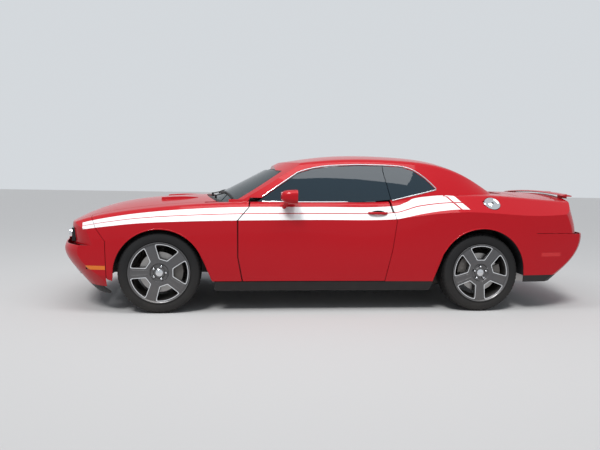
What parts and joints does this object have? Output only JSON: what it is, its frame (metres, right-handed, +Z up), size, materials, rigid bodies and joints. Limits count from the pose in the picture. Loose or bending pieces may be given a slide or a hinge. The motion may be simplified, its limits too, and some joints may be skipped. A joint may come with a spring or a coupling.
{
  "type": "muscle car",
  "caption": "Two-door coupe with long hood, short rear deck, opening doors, hood and trunk, steered front wheels and free-turning wheels.",
  "frame": {"origin": "on the ground under the middle of the car's length and width", "axes": "-X forward to the nose, -Y to the car's left side, +Z up"},
  "size_m": [5.0238, 2.116, 1.4475],
  "materials": {
    "body_paint": "gloss",
    "frame_paint": "satin",
    "black_trim": "satin",
    "window_glass": "gloss",
    "lamp_clear": "gloss",
    "lamp_red": "gloss",
    "tyre": "matte",
    "rim": "satin",
    "cast": "matte",
    "steel": "satin",
    "cabin_black": "matte",
    "seat": "satin",
    "fuel_chrome": "gloss"
  },
  "bodies": {
    "body": {"fender_left": "body_paint", "fender_right": "body_paint", "body_side_left": "body_paint", "body_side_right": "body_paint", "roof_panel": "body_paint", "rear_deck": "body_paint", "front_fascia": "body_paint", "rear_fascia": "body_paint", "front_frame": "frame_paint", "floor_pan": "frame_paint", "cowl": "black_trim", "wipers": "black_trim", "grille": "black_trim", "air_dam": "black_trim", "rear_valance": "black_trim", "sills": "black_trim", "tail_panel": "black_trim", "wheel_liners": "black_trim", "windscreen": "window_glass", "rear_window": "window_glass", "quarter_glass": "window_glass", "headlamps": "lamp_clear", "tail_lamps": "lamp_red", "side_markers": "lamp_red", "engine_block": "cast", "suspension_front": "cast", "suspension_rear": "cast", "driveline": "cast", "exhaust": "steel", "dashboard": "cabin_black", "console": "cabin_black", "seats": "seat"},
    "door_left": {"door_left": "body_paint", "door_glass_left": "window_glass", "mirror_left": "body_paint"},
    "door_right": {"door_right": "body_paint", "door_glass_right": "window_glass", "mirror_right": "body_paint"},
    "hood": {"hood": "body_paint"},
    "trunk_lid": {"trunk_lid": "body_paint", "spoiler": "body_paint"},
    "fuel_door": {"fuel_door": "fuel_chrome"},
    "steering_wheel": {"steering_wheel": "cabin_black"},
    "knuckle_left": {"knuckle_left": "cast"},
    "knuckle_right": {"knuckle_right": "cast"},
    "wheel_front_left": {"rim_front_left": "rim", "tyre_front_left": "tyre"},
    "wheel_front_right": {"rim_front_right": "rim", "tyre_front_right": "tyre"},
    "wheel_rear_left": {"rim_rear_left": "rim", "tyre_rear_left": "tyre"},
    "wheel_rear_right": {"rim_rear_right": "rim", "tyre_rear_right": "tyre"}
  },
  "joints": [
    {"name": "door_left_hinge", "type": "hinge", "parent": "body", "child": "door_left", "pos_m": [-0.8, -0.896, 0.6], "axis": [0, 0, -1], "range_deg": [0, 65]},
    {"name": "door_right_hinge", "type": "hinge", "parent": "body", "child": "door_right", "pos_m": [-0.8, 0.896, 0.6], "axis": [0, 0, 1], "range_deg": [0, 65]},
    {"name": "hood_hinge", "type": "hinge", "parent": "body", "child": "hood", "pos_m": [-1.062, 0, 0.972], "axis": [0, 1, 0], "range_deg": [0, 50]},
    {"name": "trunk_hinge", "type": "hinge", "parent": "body", "child": "trunk_lid", "pos_m": [1.833, 0, 1.097], "axis": [0, -1, 0], "range_deg": [0, 60]},
    {"name": "fuel_door_hinge", "type": "hinge", "parent": "body", "child": "fuel_door", "pos_m": [1.403, -0.87161, 1.00756], "axis": [0, -0.7193, -0.6947], "range_deg": [0, 70]},
    {"name": "steer_left", "type": "hinge", "parent": "body", "child": "knuckle_left", "pos_m": [-1.566, -0.7815, 0.364], "axis": [0, 0, 1], "range_deg": [-35, 35]},
    {"name": "steer_right", "type": "hinge", "parent": "body", "child": "knuckle_right", "pos_m": [-1.566, 0.7815, 0.364], "axis": [0, 0, 1], "range_deg": [-35, 35]},
    {"name": "steering_wheel_turn", "type": "hinge", "parent": "body", "child": "steering_wheel", "pos_m": [-0.33, -0.4, 0.905], "axis": [0.9135, 0, 0.4067], "range_deg": [-525, 525]},
    {"name": "wheel_front_left_spin", "type": "hinge", "parent": "knuckle_left", "child": "wheel_front_left", "pos_m": [-1.566, -0.8015, 0.364], "axis": [0, -1, 0], "continuous": true},
    {"name": "wheel_front_right_spin", "type": "hinge", "parent": "knuckle_right", "child": "wheel_front_right", "pos_m": [-1.566, 0.8015, 0.364], "axis": [0, -1, 0], "continuous": true},
    {"name": "wheel_rear_left_spin", "type": "hinge", "parent": "body", "child": "wheel_rear_left", "pos_m": [1.38, -0.8015, 0.364], "axis": [0, -1, 0], "continuous": true},
    {"name": "wheel_rear_right_spin", "type": "hinge", "parent": "body", "child": "wheel_rear_right", "pos_m": [1.38, 0.8015, 0.364], "axis": [0, -1, 0], "continuous": true}
  ],
  "couplings": [
    {"joint": "steer_right", "follows": "steer_left", "ratio": 1},
    {"joint": "steering_wheel_turn", "follows": "steer_left", "ratio": 15}
  ]
}
